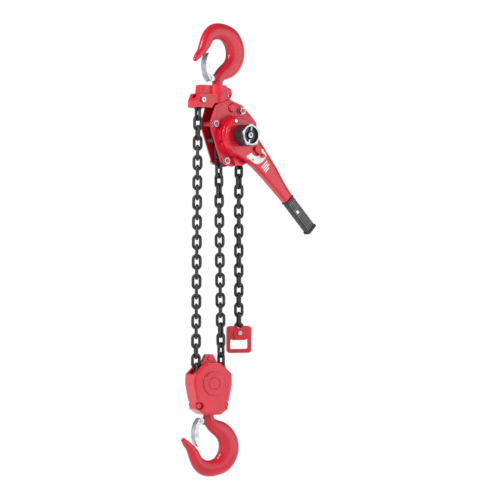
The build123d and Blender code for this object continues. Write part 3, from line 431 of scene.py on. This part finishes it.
def plate_beads():
    """Pressed line inside the upper edges of the front and rear plates."""
    line = [(-0.076, 0.010), (-0.063, 0.086), (-0.0165, 0.1035), (0.030, 0.0875), (0.060, 0.062)]
    for name, face in (("front_plate_bead", PLATE_FACE), ("rear_plate_bead", -PLATE_FACE)):
        points = [upright(SHAFT.x + x, SHAFT.z + z, face) for x, z in line]
        add_bead(name, points, PLATE_BEAD_R, "frame", "red_paint")


def yoke_marks():
    """Plain forged marks on the yoke."""
    face = -0.004
    centre = (-0.0575, -0.1145)
    add_ring("yoke_mark_ring", centre, 0.0062, 0.0078, face - 0.0008, face + 0.001, "frame",
             "red_paint")
    x, z = centre
    add_prisms("yoke_mark_bars", [bar(x - 0.004, x + 0.004, z + d - 0.0007, z + d + 0.0007)
                                  for d in (-0.0025, 0.0, 0.0025)],
               face - 0.0007, face + 0.001, "frame", "red_paint")
    add_ring("boss_mark", (-0.004, -0.127), 0.0032, 0.0046, -0.0287, -0.026, "frame", "red_paint")


lever_beads()
grip_ribs()
lever_label()
plate_beads()
yoke_marks()


# ---- stage ----
VIEW_AZIMUTH = -39.0
VIEW_DISTANCE = 6.0
VIEW_CENTRE = Vector((0.0762, -0.0617, -0.5985))
FOCAL_LENGTH = 143.28
SENSOR_WIDTH = 36
CLIP_END = 120
FLOOR_DROP = 2.7               # the hoist hangs, so the floor is well below it
FLOOR_SIZE = 22
SURROUND_HIGH = 0.30
SURROUND_LOW = 0.25
LIGHT_DISTANCE = 3.0


def make_stage():
    """Plain pale floor."""
    lowest = loaded_bounds[0].z
    bpy.ops.mesh.primitive_plane_add(size=FLOOR_SIZE, location=(0, 0, lowest - FLOOR_DROP))
    floor = bpy.context.object
    floor.name = "floor"
    material, tree, shader = new_material("pale floor")
    speckle = ramp(tree, noise(tree, 3, 3), [(0.3, 0.78), (0.7, 0.82)])
    tree.links.new(speckle, shader.inputs["Base Color"])
    shader.inputs["Roughness"].default_value = 0.9
    shader.inputs["Emission Color"].default_value = (1, 1, 1, 1)
    shader.inputs["Emission Strength"].default_value = 0.78
    floor.data.materials.append(material)


def make_camera():
    """Level camera, looking from the front left."""
    turn = radians(VIEW_AZIMUTH)
    back = Vector((sin(turn), -cos(turn), 0))
    data = bpy.data.cameras.new("camera")
    data.lens = FOCAL_LENGTH
    data.sensor_width = SENSOR_WIDTH
    camera = bpy.data.objects.new("camera", data)
    bpy.context.scene.collection.objects.link(camera)
    camera.location = VIEW_CENTRE + back * VIEW_DISTANCE
    camera.rotation_euler = (-back).to_track_quat("-Z", "Y").to_euler()
    data.clip_end = CLIP_END
    bpy.context.scene.camera = camera


def soft_light(name, direction, size, power):
    """Square area light aimed at the middle of the object; direction is (across, towards, up)."""
    turn = radians(VIEW_AZIMUTH)
    across = Vector((cos(turn), sin(turn), 0))
    towards = Vector((sin(turn), -cos(turn), 0))
    aim = (across * direction[0] + towards * direction[1] + Vector((0, 0, direction[2]))).normalized()
    data = bpy.data.lights.new(name, "AREA")
    data.shape = "SQUARE"
    data.size = size
    data.energy = power
    lamp = bpy.data.objects.new(name, data)
    bpy.context.scene.collection.objects.link(lamp)
    lamp.location = VIEW_CENTRE + aim * LIGHT_DISTANCE
    lamp.rotation_euler = (-aim).to_track_quat("-Z", "Y").to_euler()


def make_world():
    """Studio surround: a bright band round the horizon, softer light above and below it."""
    world = bpy.data.worlds.new("studio")
    world.use_nodes = True
    tree = world.node_tree
    direction = tree.nodes.new("ShaderNodeTexCoord")
    split = tree.nodes.new("ShaderNodeSeparateXYZ")
    tree.links.new(direction.outputs["Generated"], split.inputs["Vector"])
    height = tree.nodes.new("ShaderNodeMapRange")
    height.inputs["From Min"].default_value = -1.0
    height.inputs["From Max"].default_value = 1.0
    tree.links.new(split.outputs["Z"], height.inputs["Value"])
    glow = ramp(tree, height.outputs["Result"], [(0.20, SURROUND_LOW), (0.30, 1.0), (0.58, 1.0),
                                                 (0.66, SURROUND_HIGH)])
    tree.links.new(glow, tree.nodes["Background"].inputs["Color"])
    tree.nodes["Background"].inputs["Strength"].default_value = 1.0
    bpy.context.scene.world = world


make_stage()
make_camera()
make_world()
bpy.context.scene.view_settings.view_transform = "Standard"
soft_light("key", (-0.75, 0.7, 0.65), 1.2, 84)
soft_light("sheen", (0.98, 0.3, 0.15), 3.4, 52)
